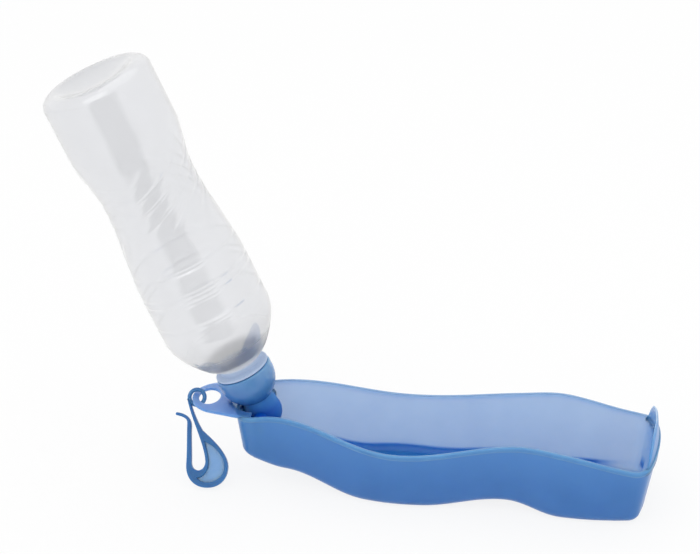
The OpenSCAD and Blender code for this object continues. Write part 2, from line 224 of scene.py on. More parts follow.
def bottle_material():
    """Clear blown plastic, wavy, milky on its shoulder, thick in its base, with a painted blue on the neck by
    the cap that stands in for the blue cap seen through it.
    """
    t = Tree(bpy.data.materials.new("blown_bottle"))
    p = t.principled(Roughness=0.08, IOR=BOTTLE_IOR, Coat_IOR=1.6, Coat_Roughness=0.12)
    clear = t.mottle(18.0, (0.9, 0.905, 0.92), (0.94, 0.945, 0.96))
    clear = t.blend(t.attribute("thick"), clear, (0.84, 0.845, 0.86))
    # Painted refraction: the neck is painted bluish in place of the blue cap and trough seen through the
    # clear plastic.
    t.link(t.blend(t.attribute("neck"), clear, srgb("#C0D4F2")), p.inputs["Base Color"])
    milk = t.attribute("milk")
    for socket, low, high, start, end in (("Transmission Weight", 0.77, 1, 0.95, 0.2),
                                          ("Roughness", 0, 0.59, 0.08, 0.45),
                                          ("Coat Weight", 0, 0.59, 1.0, 0.0)):
        t.link(t.span(milk, low, high, start, end, "LINEAR"), p.inputs[socket])
    t.bump(t.noise(70.0, 2.0), 0.05, 0.0006, p)
    return t.owner


# ---------------------------------------------------------------- mesh helpers
BEVEL_STEPS = 3


def make_mesh(name, verts, faces, mats, index=None):
    """Smooth mesh from points in metres. index gives each face its material."""
    me = bpy.data.meshes.new(name)
    me.from_pydata([tuple(v) for v in verts], [], faces)
    for m in mats:
        me.materials.append(m)
    if index is not None:
        me.polygons.foreach_set("material_index", np.array(index, np.int32))
    me.polygons.foreach_set("use_smooth", np.full(len(me.polygons), True))
    me.update()
    ob = bpy.data.objects.new(name, me)
    bpy.context.scene.collection.objects.link(ob)
    return ob


def set_attribute(ob, name, values):
    layer = ob.data.attributes.new(name, "FLOAT", "POINT")
    layer.data.foreach_set("value", np.asarray(values, np.float32))


def to_mesh(ob, mats):
    """Turns a curve into a plain mesh object with the same name."""
    dg = bpy.context.evaluated_depsgraph_get()
    me = bpy.data.meshes.new_from_object(ob.evaluated_get(dg))
    name, world = ob.name, ob.matrix_world.copy()
    bpy.data.objects.remove(ob)
    new = bpy.data.objects.new(name, me)
    new.matrix_world = world
    me.materials.clear()
    for m in mats:
        me.materials.append(m)
    bpy.context.scene.collection.objects.link(new)
    return new


def plate(name, outlines, thickness, bevel, mats, matrix):
    """Flat plate with rounded edges: the first outline is its edge, the others are holes."""
    cu = bpy.data.curves.new(name, "CURVE")
    cu.dimensions, cu.fill_mode = "2D", "BOTH"
    cu.extrude = (thickness / 2 - bevel) * MM
    cu.bevel_depth, cu.bevel_resolution = bevel * MM, BEVEL_STEPS
    cu.offset = -bevel * MM
    for pts in outlines:
        sp = cu.splines.new("POLY")
        sp.points.add(len(pts) - 1)
        for q, p in zip(sp.points, pts):
            q.co = (p[0] * MM, p[1] * MM, 0, 1)
        sp.use_cyclic_u = True
    ob = bpy.data.objects.new(name, cu)
    bpy.context.scene.collection.objects.link(ob)
    ob.matrix_world = matrix
    bpy.context.view_layer.update()
    ob = to_mesh(ob, mats)
    for p in ob.data.polygons:
        p.use_smooth = True
    ob.data.set_sharp_from_angle(angle=math.radians(35))
    return ob


def lathe(name, profile, mats, matrix, turns, closed=True, shape=None):
    """Turns a profile of (radius, height) round Z. shape(r, z, angle) may change the radius."""
    n = len(profile)
    ang = np.linspace(0, 2 * np.pi, turns, endpoint=False)
    prof = np.array(profile, float)
    r = np.repeat(prof[:, 0][:, None], turns, 1)
    z = np.repeat(prof[:, 1][:, None], turns, 1)
    if shape is not None:
        r = shape(r, z, ang[None, :])
    v = np.stack([r * np.cos(ang), r * np.sin(ang), z], -1).reshape(-1, 3) * MM
    faces = []
    for k in range(n if closed else n - 1):
        a, b = k * turns, (k + 1) % n * turns
        for j in range(turns):
            m = (j + 1) % turns
            faces.append((a + j, a + m, b + m, b + j))
    ob = make_mesh(name, v, faces, mats)
    ob.data.transform(matrix)
    ob.data.set_sharp_from_angle(angle=math.radians(40))
    return ob


def arc(x, y, rx, ry, count, start=0, end=360):
    """Points along an ellipse, angles in degrees. A whole one doesn't repeat its first point."""
    a = np.radians(np.linspace(start, end, count, endpoint=end - start < 360))
    return [(x + rx * math.cos(t), y + ry * math.sin(t)) for t in a]


def wave(keys, x):
    """Height of a chain of half cosine waves through the keys, flat before and after them."""
    x = np.asarray(x, float)
    out = np.full_like(x, keys[0][1])
    for (x0, v0), (x1, v1) in zip(keys, keys[1:]):
        t = np.clip((x - x0) / (x1 - x0), 0, 1)
        m = x > x0
        out[m] = (v0 + (v1 - v0) * (1 - np.cos(np.pi * t)) / 2)[m]
    return out


def fade(v, full, none):
    """1 up to full and beyond it, falling evenly to 0 at none."""
    return np.clip((none - v) / (none - full), 0, 1)


def place(x, z):
    """Moves a piece's origin to a point of the plane of symmetry."""
    return Matrix.Translation(Vector((x - LAND_MID, 0, z)) * MM)


# ---------------------------------------------------------------- hinge, which the other shapes start from
PIVOT_X, PIVOT_Z = 7.6, 40.4
LEAN = math.radians(24)                       # of the bottle, away from the trough
CAP_R, CAP_CENTRE, CAP_CLEAR = 17.1, 24.4, 0.8
BOTTLE_AXIS = place(PIVOT_X, PIVOT_Z) @ Matrix.Rotation(-LEAN, 4, "Y")


def pivot_side(s):
    """Z along the hinge's axis, to the far side for 1 and to the near side for -1."""
    return place(PIVOT_X, PIVOT_Z) @ Matrix.Rotation(-math.pi / 2 * s, 4, "X")


# ---------------------------------------------------------------- trough
TROUGH_LEN, NOSE_BACK, WALL, DRAFT, FLOOR_R = 242.6, 8.0, 1.5, 0.12, 6.5
NOSE_CORNER, END_CORNER, END_BOW, NOSE_BOW = 11.2, 11.0, 84.0, 1.0
LIP, LIP_H, LIP_FOOT, EDGE_R, END_RISE = 0.6, 2.4, 0.4, 0.55, 6.5
RIM = [(-8, 46.6), (21, 49.8), (91, 38.3), (172, 48.4), (241, 38.1)]
WIDTH = [(-8, 21.4), (6, 22.4), (92, 35.77), (157, 31.2), (190, 34.8), (241, 33.8)]
FLOOR = [(-12.5, 20.1), (23, 10.3), (72.2, 0), (105.8, 0), (153.7, 5.7), (186.7, 0), (218, 0), (241, 1.4)]
SLOPE = [(-8, 0), (90, -0.015), (150, 0.005), (200, -0.054), (240, 0.019)]
OUTER, INNER, EDGE = 0, 1, 2                  # the shell's materials, and the tags of its levels

NOSE_CY = float(wave(WIDTH, [0])[0]) - NOSE_CORNER
NOSE_CX = NOSE_CORNER - NOSE_BACK + NOSE_BOW
END_HALF = float(wave(WIDTH, [TROUGH_LEN])[0])
END_CY = END_HALF - END_CORNER
END_TURN = math.asin(END_CY / (END_BOW - END_CORNER))
END_CX = TROUGH_LEN - END_BOW + (END_BOW - END_CORNER) * math.cos(END_TURN)
N_NOSE, N_ARC, N_SIDE, N_END, N_CORNER, N_ACROSS = 6, 12, 110, 14, 8, 8
N_HALF = N_NOSE + N_ARC + N_SIDE + 1 + N_ARC + N_END


def plan_half(inset):
    """Half of the plan loop from the nose's middle to the end's middle; inset is a number, or one a point."""
    inset = iter(np.broadcast_to(np.asarray(inset, float), (N_HALF,)))
    pts = []
    for i in range(N_NOSE):
        t = i / N_NOSE
        pts.append((next(inset) - NOSE_BACK + NOSE_BOW * t * t, NOSE_CY * t))
    for i in range(N_ARC):
        a, r = math.pi - math.pi / 2 * i / N_ARC, NOSE_CORNER - next(inset)
        pts.append((NOSE_CX + r * math.cos(a), NOSE_CY + r * math.sin(a)))
    for i in range(N_SIDE + 1):
        x = NOSE_CX + (END_CX - NOSE_CX) * i / N_SIDE
        pts.append((x, float(wave(WIDTH, [x])[0]) - next(inset)))
    for i in range(N_ARC):
        a, r = math.pi / 2 - (math.pi / 2 - END_TURN) * (i + 1) / N_ARC, END_CORNER - next(inset)
        pts.append((END_CX + r * math.cos(a), END_CY + r * math.sin(a)))
    for i in range(N_END):
        d = next(inset)
        y = (END_CY + (END_CORNER - d) * math.sin(END_TURN)) * (1 - (i + 1) / N_END)
        pts.append((TROUGH_LEN - END_BOW + math.sqrt((END_BOW - d) ** 2 - y * y), y))
    return np.array(pts)


def rim_height(p):
    """Rim's height over the plan points: its wave, the bulge of the end wall and room for the cap."""
    rise = np.maximum(0, p[:, 0] - END_CX) / (TROUGH_LEN - END_CX)
    top = wave(RIM, p[:, 0]) + END_RISE * (1 - (p[:, 1] / END_HALF) ** 2) * np.minimum(1, 3 * rise)
    x, z = PIVOT_X - CAP_CENTRE * math.sin(LEAN), PIVOT_Z + CAP_CENTRE * math.cos(LEAN)
    d = (CAP_R + CAP_CLEAR) ** 2 - (p[:, 0] - x) ** 2 - p[:, 1] ** 2
    dome = z - np.sqrt(np.maximum(d, 0))
    return np.where((d > 0) & (p[:, 0] < 0), np.minimum(top, dome), top)


def trough_levels():
    """Levels from the rim down the outside, and from the floor up the inside to the rim.

    Each level is (height per point, inset, tag, share of the light that comes through the walls).
    """
    base = plan_half(0)
    top = rim_height(base)
    low = wave(FLOOR, plan_half(FLOOR_R)[:, 0])
    slope = DRAFT + wave(SLOPE, base[:, 0])

    def rounding(angles, inset, side):
        for a in np.radians(angles):
            yield top - EDGE_R + EDGE_R * math.cos(a), inset + side * EDGE_R * (1 - math.sin(a)), EDGE, 1.0

    outside = list(rounding((0, 30, 60, 90), 0, 1))
    for down, inset in ((-0.35, 0), (0, 0.06), (0.25, 0.22), (LIP, LIP - 0.1)):
        outside.append((top - LIP_H - down, inset, EDGE, 1.0))
    lip_foot = top - LIP_H - LIP - LIP_FOOT
    outside.append((lip_foot, LIP, OUTER, 1.0))
    drop = slope * (top - low - FLOOR_R)
    for t in (0.15, 0.35, 0.55, 0.75, 0.92):
        outside.append((lip_foot + (low + FLOOR_R - lip_foot) * t, LIP + drop * t, OUTER, 1.0))
    for k in range(N_CORNER + 1):
        a = math.pi / 2 * k / N_CORNER
        inset = LIP + drop + FLOOR_R * (1 - math.cos(a))
        outside.append((low + FLOOR_R * (1 - math.sin(a)), inset, OUTER, 1.0))

    inside = []
    floor, corner_r, wall_in = low + WALL, FLOOR_R - WALL, LIP + WALL
    drop = slope * (top - floor - corner_r)
    for k in range(N_CORNER, -1, -1):
        a = math.pi / 2 * k / N_CORNER
        inset = wall_in + drop + corner_r * (1 - math.cos(a))
        inside.append((floor + corner_r * (1 - math.sin(a)), inset, INNER, max(0.0, 0.8 - k / 2.5)))
    wall_foot = floor + corner_r
    for t in (0.1, 0.3, 0.5, 0.7, 0.9):
        z = wall_foot + (top - LIP_H - wall_foot) * t
        inside.append((z, wall_in + drop * (1 - t), INNER, 0.85 + 0.15 * t))
    inside.append((top - LIP_H, wall_in, INNER, 1.0))
    inside.append((top - EDGE_R, wall_in, EDGE, 1.0))
    inside += rounding((60, 30, 0), wall_in, -1)
    return outside, inside


LIT_END, SHADED_WALL = (220, 205), (239, 234)
# PAINTED_SHADE_BOX holds a small dark patch of painted shade low on the end wall's inside, near its far
# corner.
PAINTED_SHADE_BOX = ((232.5, 235.3), (16.5, 23.5), (9, 13))


def light_share(verts, share):
    """The levels' share of light, raised near the tab, lowered on its wall, and nought on a small patch of
    painted shade low on the end wall near its far corner.
    """
    x = verts[:, 0]
    lit = np.maximum(share, 0.8 * fade(x, *LIT_END))
    lit *= 1 - 0.5 * fade(x, *SHADED_WALL)
    lit[np.all([(v > low) & (v < high) for v, (low, high) in zip(verts.T, PAINTED_SHADE_BOX)], axis=0)] = 0.0
    return lit


def build_trough(mats):
    outside, inside = trough_levels()
    levels = outside + inside
    tags = [tag for _, _, tag, _ in levels]
    count = len(levels)
    verts = []
    for z, inset, _, _ in levels:
        p = plan_half(inset)
        verts.extend(np.column_stack([p, z]))
        verts.extend(np.column_stack([p[1:-1, 0], -p[1:-1, 1], z[1:-1]])[::-1])
    loop = 2 * N_HALF - 2
    faces, index = [], []
    for k in range(count):
        if k == len(outside) - 1:
            continue
        a, b = k * loop, (k + 1) % count * loop
        for j in range(loop):
            m = (j + 1) % loop
            faces.append((a + j, b + j, b + m, a + m))
            index.append(INNER if tags[k] == INNER else max(tags[k], tags[(k + 1) % count]))
    # floors: several columns across, so that the far and near halves join smoothly
    for first, tag in (((len(outside) - 1) * loop, OUTER), (len(outside) * loop, INNER)):
        grid = np.zeros((N_HALF, N_ACROSS + 1), int)
        for i in range(N_HALF):
            far, near = first + i, first + (loop - i) % loop
            grid[i, 0], grid[i, N_ACROSS] = far, near
            for c in range(1, N_ACROSS):
                if far == near:
                    grid[i, c] = far
                else:
                    t = c / N_ACROSS
                    verts.append(verts[far] * (1 - t) + verts[near] * t)
                    grid[i, c] = len(verts) - 1
        for i in range(N_HALF - 1):
            for c in range(N_ACROSS):
                q = [grid[i, c], grid[i + 1, c], grid[i + 1, c + 1], grid[i, c + 1]]
                q = [int(v) for n, v in enumerate(q) if v not in q[:n]]
                if len(q) > 2:
                    faces.append(tuple(q if tag == INNER else q[::-1]))
                    index.append(tag)
    verts = np.array(verts)
    share = np.zeros(len(verts))
    share[:count * loop] = np.repeat([lit for _, _, _, lit in levels], loop)
    ob = make_mesh("trough_shell", (verts - (LAND_MID, 0, 0)) * MM, faces, mats, index)
    set_attribute(ob, "lit", light_share(verts, share))
    return ob


TAB_INSET, TAB_T, TAB_TOP, TAB_FOOT, TAB_SUNK, TAB_HALF = 0.6, 1.65, 57.5, 37.0, 1.5, 31.0
TAB_ARCH, TAB_EDGE, TAB_KNEE, TAB_LEAN, TAB_ROWS = 3.2, 0.5, 42.0, math.radians(7), 14


def build_tab(mats):
    """Arched tab that grows out of the end wall's edge, bowed with it and leaning inwards."""
    first = N_NOSE + N_ARC + N_SIDE
    outer, inner = plan_half(TAB_INSET)[first:], plan_half(TAB_INSET + TAB_T)[first:]
    outer = np.concatenate([outer, outer[-2::-1] * (1, -1)])
    inner = np.concatenate([inner, inner[-2::-1] * (1, -1)])
    keep = np.abs(outer[:, 1]) < TAB_HALF
    outer, inner = outer[keep], inner[keep]
    verts, n, rows = [], len(outer), TAB_ROWS
    base = TAB_FOOT - TAB_SUNK
    for skin, other in ((outer, inner), (inner, outer)):
        for k in range(rows + 1):
            for i in range(n):
                arch = TAB_FOOT + (TAB_TOP - TAB_FOOT) * (1 - abs(outer[i, 1] / TAB_HALF) ** TAB_ARCH)
                z = base + (arch - base) * k / rows
                near_edge = max(0.0, (z - (arch - TAB_EDGE)) / TAB_EDGE)
                mix = 0.5 * (1 - math.sqrt(max(0.0, 1 - near_edge ** 2)))
                x, y = skin[i] * (1 - mix) + other[i] * mix
                verts.append((x - math.tan(TAB_LEAN) * max(0.0, z - TAB_KNEE) - LAND_MID, y, z))
    faces, back = [], (rows + 1) * n
    for start, turn in ((0, -1), (back, 1)):
        for k in range(rows):
            for i in range(n - 1):
                a = start + k * n + i
                faces.append((a, a + 1, a + n + 1, a + n)[::turn])
    for i in range(n - 1):
        for a, turn in ((i, -1), (rows * n + i, 1)):
            faces.append((a, a + 1, back + a + 1, back + a)[::turn])
    for k in range(rows):
        for a, turn in ((k * n, 1), (k * n + n - 1, -1)):
            faces.append((a, a + n, back + a + n, back + a)[::turn])
    ob = make_mesh("end_tab", np.array(verts) * MM, faces, mats)
    ob.data.set_sharp_from_angle(angle=math.radians(50))
    return ob


DECK_TOP, DECK_T, DECK_BEVEL = 47.6, 1.8, 0.45
TONGUE_END, TONGUE_R, TONGUE_ROOT = -35.5, 17.2, 20.0
BAY_X, BAY_R = 3.2, 14.7
HOLE_X, HOLE_HALF_X, HOLE_HALF_Y = -25.2, 6.4, 9.0
WEB_Z, WEB_T, WEB_BEVEL = 44.5, 1.1, 0.3


def build_tongue(mats):
    """Flat tongue with the hook's hole, cut away in a round bay where the cap swings past."""
    far = arc(TONGUE_END + TONGUE_R, 0, TONGUE_R, TONGUE_R, 20, 180, 102)
    far += [(-11, 18.9), (-8, 19.6), (-5.2, TONGUE_ROOT), (BAY_X, TONGUE_ROOT - 0.6)]
    near = [(x, -y) for x, y in far[::-1]]
    outline = far + arc(BAY_X, 0, BAY_R, BAY_R, 40, 90, 270) + near[:-1]
    hole = arc(HOLE_X, 0, HOLE_HALF_X, HOLE_HALF_Y, 56)
    return plate("tongue", [outline, hole], DECK_T, DECK_BEVEL, mats, place(0, DECK_TOP - DECK_T / 2))


def build_bay_web(mats):
    """Thin web that closes the slit between the tongue's bay and the nose wall, notched for the spout."""
    back, front, notch = -12.6, -3.8, -7.2
    outline = [(back, 9.0), (back, -9.0), (front, -14.5), (front, -6.2), (notch, -4.6),
               (notch, 4.6), (front, 6.2), (front, 14.5)]
    return plate("bay_web", [outline], WEB_T, WEB_BEVEL, mats, place(0, WEB_Z))


BOSS = [(0.02, 18.9), (3.05, 18.9), (3.05, 16.8), (3.4, 16.4), (3.7, 16.4), (3.9, 16.54), (4.0, 16.9),
        (4.0, 20.1), (0.02, 20.1)]
SEAT_DROP, SEAT_R = 1.6, 3.6
SEAT_RIM = [(0, -5.0), (0, -3.2), (0.3, -2.95), (0.8, -2.95), (1.1, -3.2), (1.1, -6.0)]


def build_bosses(mats):
    """The bosses that hold the spout's trunnions, and the cup that holds the valve's seat."""
    obs = []
    for s, name in ((-1, "boss_near"), (1, "boss_far")):
        ob = lathe(name, BOSS, mats, pivot_side(s), turns=48, closed=False)
        set_attribute(ob, "lit", np.ones(len(ob.data.vertices)))
        obs.append(ob)
    cup = [(SEAT_R + out, a) for out, a in SEAT_RIM]
    along = place(0, PIVOT_Z - SEAT_DROP) @ Matrix.Rotation(math.pi / 2, 4, "Y")
    return obs + [lathe("seat_cup", cup, mats, along, turns=40, closed=False)]


# ---------------------------------------------------------------- bottle, heights counted from the pivot
MOUTH, NECK_BORE, THREAD_R, NECK_R = 17.06, 10.9, 12.7, 13.0
RING_LOW, RING_TOP, RING_R = 30.4, 32.4, 16.5
SHOULDER_LOW, SHOULDER_FULL, SHOULDER_R = 33.4, 68.0, 33.6
BOTTLE_END, BASE_ROUND, BODY_R, BOTTLE_WALL, PUNT = 228.3, 7.0, 32.9, 0.45, 6
BODY = [(68, 33.5), (93, 33.5), (157, 28.3), (190, 32.9), (300, 32.9)]
RIBS, RIB_DEPTH, RIB_HALF = [78, 93, 98, 112], 0.7, 2.2
THREAD_PITCH, THREAD_DEPTH = 3.2, 0.85
FLUTES, FLUTE_START, FLUTE_END, FLUTE_DEPTH = 9, 112, 196, 0.6
# NECK_PAINTED_BLUE: heights where the neck's painted blue, in place of the cap seen through it, is full and
# where it ends.
NECK_PAINTED_BLUE, MILK, THICK_BASE = (35, 36.5), (39, 56), (26, 29)
AXIS_GAP = 0.05                               # profiles stop short of the axis
BOTTLE_TURNS = 240


def rib_depth(a):
    """How deep the ribs draw the wall in at a height."""
    near = [abs(a - rib) for rib in RIBS if abs(a - rib) < RIB_HALF]
    return max([RIB_DEPTH * (1 + math.cos(math.pi * d / RIB_HALF)) / 2 for d in near], default=0)


def body_radius(a):
    """Radius of the shoulder and the body at a height, without ribs and flutes."""
    if a < SHOULDER_FULL:
        rise = math.sin(math.pi / 2 * max(0.0, a - SHOULDER_LOW) / (SHOULDER_FULL - SHOULDER_LOW))
        hollow = 5 * max(0.0, 1 - (a - SHOULDER_LOW) / 8) ** 2
        return max(NECK_R, NECK_R + (SHOULDER_R - NECK_R) * rise - hollow)
    return float(wave(BODY, [a])[0])


def thread_and_flutes(r, a, ang):
    """Two turns of a rounded ridge on the neck, and S-shaped channels that twist round the waist."""
    turn = ((a - MOUTH - 2.5) / THREAD_PITCH - ang / (2 * np.pi)) % 1.0
    ridge = np.clip(1 - np.abs(turn - 0.5) / 0.26, 0, 1)
    threaded = (r > 12.5) & (a > MOUTH + 1.5) & (a < RING_LOW - 3.0)
    r = r + np.where(threaded, THREAD_DEPTH * ridge ** 0.6, 0)
    t = fade(a, FLUTE_END, FLUTE_START)
    depth = FLUTE_DEPTH * np.sin(np.pi * t) ** 1.4
    twist = 0.9 * np.sin(2 * np.pi * (t - 0.5)) + 1.9 * t
    channel = (0.5 + 0.5 * np.cos(FLUTES * (ang - twist))) ** 7
    return r - np.where(r > 20, depth * channel, 0)


def build_bottle(mats):
    """One shell with a true wall: the outer profile from mouth to base, and the inner one back."""
    outer = [(NECK_BORE, MOUTH + 0.5), (11.3, MOUTH), (12.3, MOUTH), (THREAD_R, MOUTH + 0.4)]
    mouth_n = len(outer)
    outer += [(THREAD_R, a) for a in np.arange(MOUTH + 0.8, RING_LOW - 0.4, 0.5)]
    outer += [(12.9, RING_LOW - 0.3), (13.4, RING_LOW), (RING_R - 0.5, RING_LOW + 0.1),
              (RING_R - 0.1, RING_LOW + 0.4), (RING_R, RING_LOW + 0.9), (RING_R - 0.1, RING_LOW + 1.5),
              (RING_R - 0.6, RING_TOP - 0.1), (13.5, RING_TOP), (NECK_R, RING_TOP + 0.4),
              (NECK_R, SHOULDER_LOW)]
    neck_n = len(outer)
    fine, body = np.arange(SHOULDER_LOW + 0.3, 40, 0.6), np.arange(40, BOTTLE_END - BASE_ROUND, 0.8)
    outer += [(body_radius(a) - rib_depth(a), a) for a in np.concatenate([fine, body])]
    for b in np.radians(np.linspace(0, 90, 12)):
        outer.append((BODY_R - BASE_ROUND * (1 - math.cos(b)), BOTTLE_END - BASE_ROUND * (1 - math.sin(b))))
    foot, punt = BODY_R - BASE_ROUND - 1.6, BODY_R - BASE_ROUND - 3
    outer += [(foot, BOTTLE_END - 0.1)]
    outer += [(r, BOTTLE_END - PUNT * (1 - (r / punt) ** 2) - 0.3) for r in np.linspace(punt, AXIS_GAP, 16)]
    pts = np.array(outer)
    along = np.gradient(pts, axis=0)
    along /= np.linalg.norm(along, axis=1)[:, None] + 1e-12
    inner = pts + np.stack([-along[:, 1], along[:, 0]], -1) * BOTTLE_WALL
    inner[:neck_n, 0] = NECK_BORE
    inner[:, 0] = np.maximum(inner[:, 0], AXIS_GAP)
    inner[neck_n - 1, 0] = 12.4               # the step from the thick neck to the thin shoulder
    prof = np.concatenate([pts, inner[::-1][:-mouth_n]])
    ob = lathe("bottle_blown", prof, mats, BOTTLE_AXIS, BOTTLE_TURNS, shape=thread_and_flutes)
    r, a = prof.T
    outside = np.arange(len(prof)) < len(pts)
    # neck carries the painted blue that stands in for the cap seen through the neck.
    for name, values in (("neck", fade(a, *NECK_PAINTED_BLUE)),
                         ("milk", outside * fade(a, *MILK)),
                         ("thick", (a > BOTTLE_END - 7.5) * fade(r, *THICK_BASE))):
        set_attribute(ob, name, np.repeat(values, BOTTLE_TURNS))
    return ob


# ---------------------------------------------------------------- cap and spout
# CAP_REST and SPOUT_REST are what follows the dome and the ball in each profile
CAP_HOLE = 9.25
CAP_REST = [(CAP_R, 25.4), (CAP_R, 28.4), (CAP_R - 0.12, 29.2), (CAP_R - 0.35, 29.7), (CAP_R - 0.8, 29.9),
            (14.2, 29.9), (13.72, 29.6), (13.72, 17.0), (12.4, 16.9), (12.4, 15.4), (CAP_HOLE, 15.4)]
BALL_R, TUBE_R, TUBE_LIGHT, SPOUT_TURNS = 11.0, 9.15, (9, 3), 96
SPOUT_REST = [(10.3, 5.2), (9.6, 8.4), (TUBE_R + 0.1, 9.8), (TUBE_R, 10.6), (TUBE_R, 11.8), (8.15, 11.9),
              (8.15, 13.3), (TUBE_R, 13.4), (TUBE_R, 15.3), (3.2, 15.3), (3.2, -8.0), (2.2, -9.4)]
TRUNNION = [(4.6, 9.8), (4.6, 15.7), (4.3, 16.0), (3.0, 16.0), (3.0, 18.1), (2.7, 18.4), (0.02, 18.4)]


def build_cap(mats):
    dome = [(CAP_R * math.sin(a), CAP_CENTRE - CAP_R * math.cos(a))
            for a in np.linspace(math.asin(CAP_HOLE / CAP_R), math.pi / 2, 26)]
    return lathe("dome_cap", dome + CAP_REST, mats, BOTTLE_AXIS, turns=128)


def build_spout(mats):
    low, high = -math.pi / 2 + math.asin(2.4 / BALL_R), math.asin(2.2 / BALL_R)
    ball = [(BALL_R * math.cos(a), BALL_R * math.sin(a)) for a in np.linspace(low, high, 26)]
    prof = ball + SPOUT_REST
    ob = lathe("spout_ball", prof, mats, BOTTLE_AXIS, SPOUT_TURNS)
    # Painted light and shade for the attribute up: lighter on the ball and on its right side, darker up the
    # tube inside the cap.
    ball_painted_light = fade(np.array(prof)[:, 1], *TUBE_LIGHT)
    to_right = np.maximum(0, np.cos(np.linspace(0, 2 * np.pi, SPOUT_TURNS, endpoint=False)))
    set_attribute(ob, "up", np.clip(ball_painted_light[:, None] + 0.5 * to_right, 0, 1).ravel())
    return ob


def build_trunnions(mats):
    return [lathe(name, TRUNNION, mats, pivot_side(s), turns=40, closed=False)
            for s, name in ((-1, "trunnion_near"), (1, "trunnion_far"))]


# ---------------------------------------------------------------- hook
HOOK_X, HOOK_Z, HOOK_LEAN = -33.1, 45.9, math.radians(33.5)
HOOK_T, HOOK_BEVEL, HOOK_WEB_T, HOOK_WEB_BEVEL = 4.0, 0.55, 2.4, 0.02
HOOK_RING_R, HOOK_WIRE_R, CURVE_STEPS = 4.6, 1.25, 12
# closed chains of cubic curves: each row is a point on the outline and the two handles after it
HOOK_EDGE = [
    (-5.7, -1.2), (-4.9, -1.6), (-4.0, -2.6),
    (-3.4, -3.6), (-0.7, -10.5), (2.4, -15.8),
    (5.2, -19.5), (9.2, -22.8), (21.8, -31.0),
    (22.6, -40.0), (23.0, -48.2), (17.4, -53.4),
    (9.9, -53.4), (2.8, -53.4), (-2.5, -48.4),
    (-2.7, -40.5), (-2.9, -32.0), (-3.9, -23.0),
    (-4.3, -16.0), (-4.4, -13.2), (-6.6, -12.4),
    (-11.3, -11.7), (-12.1, -11.5), (-12.0, -10.1),
    (-11.1, -9.9), (-6.0, -10.2), (-2.2, -12.5),
    (-1.7, -17.5), (-1.4, -25.0), (-0.2, -32.0),
    (0.3, -39.2), (0.6, -45.0), (8.9, -45.2),
    (8.8, -38.0), (7.4, -27.5), (-2.2, -13.5)]
HOOK_WEB = [
    (7.4, -26.2), (12.5, -27.5), (20.0, -33.5),
    (20.5, -40.0), (20.5, -46.5), (15.5, -50.2),
    (9.8, -50.2), (7.8, -50.2), (5.8, -49.4),
    (4.4, -47.9), (7.4, -47.6), (10.5, -45.3),
    (10.8, -39.5), (10.6, -34.5), (8.2, -29.5)]


def bezier_loop(chain):
    """Points along a closed chain of cubic curves."""
    t = np.linspace(0, 1, CURVE_STEPS, endpoint=False)[:, None]
    curves = []
    for i in range(0, len(chain), 3):
        a, b, c, d = (np.array(chain[(i + j) % len(chain)]) for j in range(4))
        curves.append((1 - t) ** 3 * a + 3 * (1 - t) ** 2 * t * b + 3 * (1 - t) * t * t * c + t ** 3 * d)
    return np.concatenate(curves)


def build_hook(rim_mat, web_mat):
    upright = place(HOOK_X, HOOK_Z) @ Matrix.Rotation(math.pi / 2 - HOOK_LEAN, 4, "X")
    edge, web = bezier_loop(HOOK_EDGE), bezier_loop(HOOK_WEB)
    rim = plate("hook_rim", [edge, web], HOOK_T, HOOK_BEVEL, [rim_mat], upright)
    fill = plate("hook_web", [web], HOOK_WEB_T, HOOK_WEB_BEVEL, [web_mat], upright)
    wire = arc(HOOK_RING_R, 0, HOOK_WIRE_R, HOOK_WIRE_R, 24)
    return rim, fill, lathe("hook_ring", wire, [rim_mat], upright, turns=72)


# ---------------------------------------------------------------- build
# Painted light: the outside turns lighter up the wall, from Z 0.012 to 0.05 m, and stays darker low down by
# the floor.
mat_outer = plastic("trough_outside", "#3874B2", "#3E7AB8", second=("#4C86C0", ("Z", 0.012, 0.05)))
mat_inner = inside_material()
# Painted light: the rim turns lighter towards the far side, from Y -0.01 to 0.02 m.
mat_rim = plastic("trough_rim", "#5688B6", "#5B8DBA", 0.34, depth=0.006, gloss=0.3,
                  second=("#7898BE", ("Y", -0.01, 0.02)))
mat_tab = plastic("tab_plastic", "#4178B4", "#4980BA", depth=0.012)
mat_tongue = plastic("tongue_plastic", "#6C7A90", "#727F96", 0.34, depth=0.014,
                     second=("#4478C2", ("X", -0.114, -0.1)))
# Painted light: the dome turns lighter towards its top, from Z 0.05 to 0.08 m.
mat_cap = plastic("cap_dome", "#2C66AC", "#346EB2", 0.24, depth=0.012, coat=0.2,
                  second=("#6E9ECC", ("Z", 0.05, 0.08)))
# Painted light and shade: the spout's second colour, by the attribute up, is lighter on the ball and its
# right side.
mat_spout = plastic("spout_navy", "#0048AE", "#044EB4", 0.4, depth=0.003, gloss=0.15,
                    second=("#3E80C4", "up"))
# Painted light and shade: the hook's second colour rises along the piece's Z, from 0.002 to 0.012 m, lighter
# up and darker low down.
mat_hook = plastic("hook_rim", "#306CA4", "#3874AC", 0.34, gloss=0.35,
                   second=("#4C82B2", ("Z", 0.002, 0.012)))
mat_web = plastic("hook_web", "#5086C0", "#5A8EC6", 0.34, depth=0.016)
mat_soft = plastic("soft_seal", "#D5D8DC", "#E2E4E6", 0.5, depth=0)
mat_ring = plastic("o_ring", "#1C1F24", "#262A30", 0.45, depth=0)
mat_bottle = bottle_material()


def dress(ob, body, slot, *nodes):
    """Puts a piece on its body; slot is not used; nodes are the CAD's solids that it stands in for, which it
    hides.
    """
    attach(ob, body)
    if nodes:
        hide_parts(*nodes)


